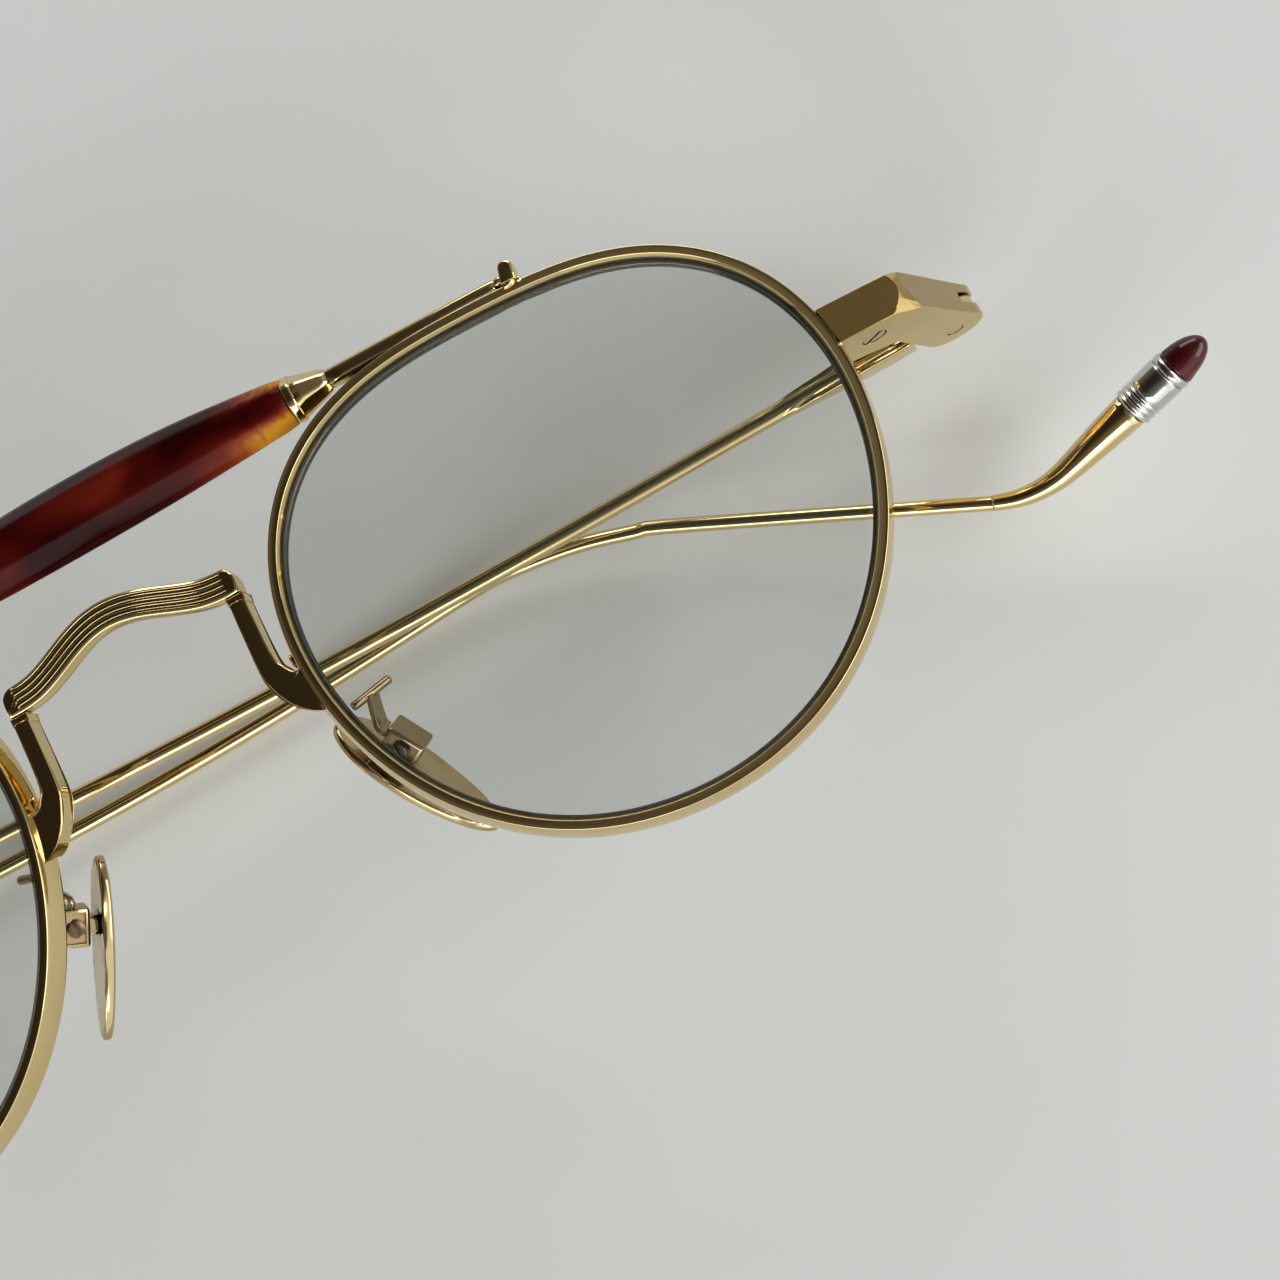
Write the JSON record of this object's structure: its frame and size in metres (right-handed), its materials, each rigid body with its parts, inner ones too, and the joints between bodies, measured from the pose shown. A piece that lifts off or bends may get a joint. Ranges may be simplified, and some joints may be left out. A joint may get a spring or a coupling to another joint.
{
  "type": "round sunglasses",
  "caption": "Round metal sunglasses with a tortoiseshell brow bar, a wavy ribbed bridge, rocking nose pads and folding wire temples with bead tips",
  "frame": {"origin": "Centre of the bounding box in X and Y, at its lowest Z, with the glasses folded and lying on their temples, lenses up.", "axes": "+X runs to the wearer's left, +Y to the brow, +Z out of the front of the lenses."},
  "size_m": [0.1678, 0.0472, 0.026],
  "materials": {
    "polished_gold": "polished pale gold plate",
    "screw_gold": "turned screw, gold plated",
    "polished_silver": "polished silver plate",
    "tortoise_acetate": "polished dark tortoiseshell acetate",
    "dark_red_acetate": "polished dark red acetate",
    "grey_lens": "light grey tinted lens"
  },
  "bodies": {
    "front": {"brow_bar": "tortoise_acetate", "bridge_saddle": "polished_gold", "rim_left": "polished_gold", "lens_left": "grey_lens", "brow_ferrule_left": "polished_gold", "brow_wire_left": "polished_gold", "brow_post_left": "polished_gold", "bridge_arm_left": "polished_gold", "end_piece_left": "polished_gold", "closing_screw_left": "screw_gold", "hinge_screw_left": "screw_gold", "pad_box_left": "polished_gold", "pad_screw_left": "screw_gold", "pad_arm_left": "polished_gold", "rim_right": "polished_gold", "lens_right": "grey_lens", "brow_ferrule_right": "polished_gold", "brow_wire_right": "polished_gold", "brow_post_right": "polished_gold", "bridge_arm_right": "polished_gold", "end_piece_right": "polished_gold", "closing_screw_right": "screw_gold", "hinge_screw_right": "screw_gold", "pad_box_right": "polished_gold", "pad_screw_right": "screw_gold", "pad_arm_right": "polished_gold"},
    "temple_arm_left": {"temple_left": "polished_gold", "temple_ferrule_left": "polished_silver", "temple_tip_left": "dark_red_acetate"},
    "nose_pad_left": {"pad_left": "polished_gold"},
    "temple_arm_right": {"temple_right": "polished_gold", "temple_ferrule_right": "polished_silver", "temple_tip_right": "dark_red_acetate"},
    "nose_pad_right": {"pad_right": "polished_gold"}
  },
  "joints": [
    {"name": "temple_hinge_left", "type": "hinge", "parent": "front", "child": "temple_arm_left", "pos_m": [0.06821, 0.00451, 0.00626], "axis": [0, -1, 0], "range_deg": [0, 93.6]},
    {"name": "temple_hinge_right", "type": "hinge", "parent": "front", "child": "temple_arm_right", "pos_m": [-0.06939, 0.00451, 0.00626], "axis": [0, 1, 0], "range_deg": [0, 88.3]},
    {"name": "pad_rock_left", "type": "hinge", "parent": "front", "child": "nose_pad_left", "pos_m": [0.0152, -0.00789, 0.01841], "axis": [0.4194, 0.4707, -0.7763], "range_deg": [-8, 8]},
    {"name": "pad_rock_right", "type": "hinge", "parent": "front", "child": "nose_pad_right", "pos_m": [-0.01543, -0.00814, 0.01841], "axis": [0.4194, -0.4707, 0.7763], "range_deg": [-8, 8]}
  ]
}
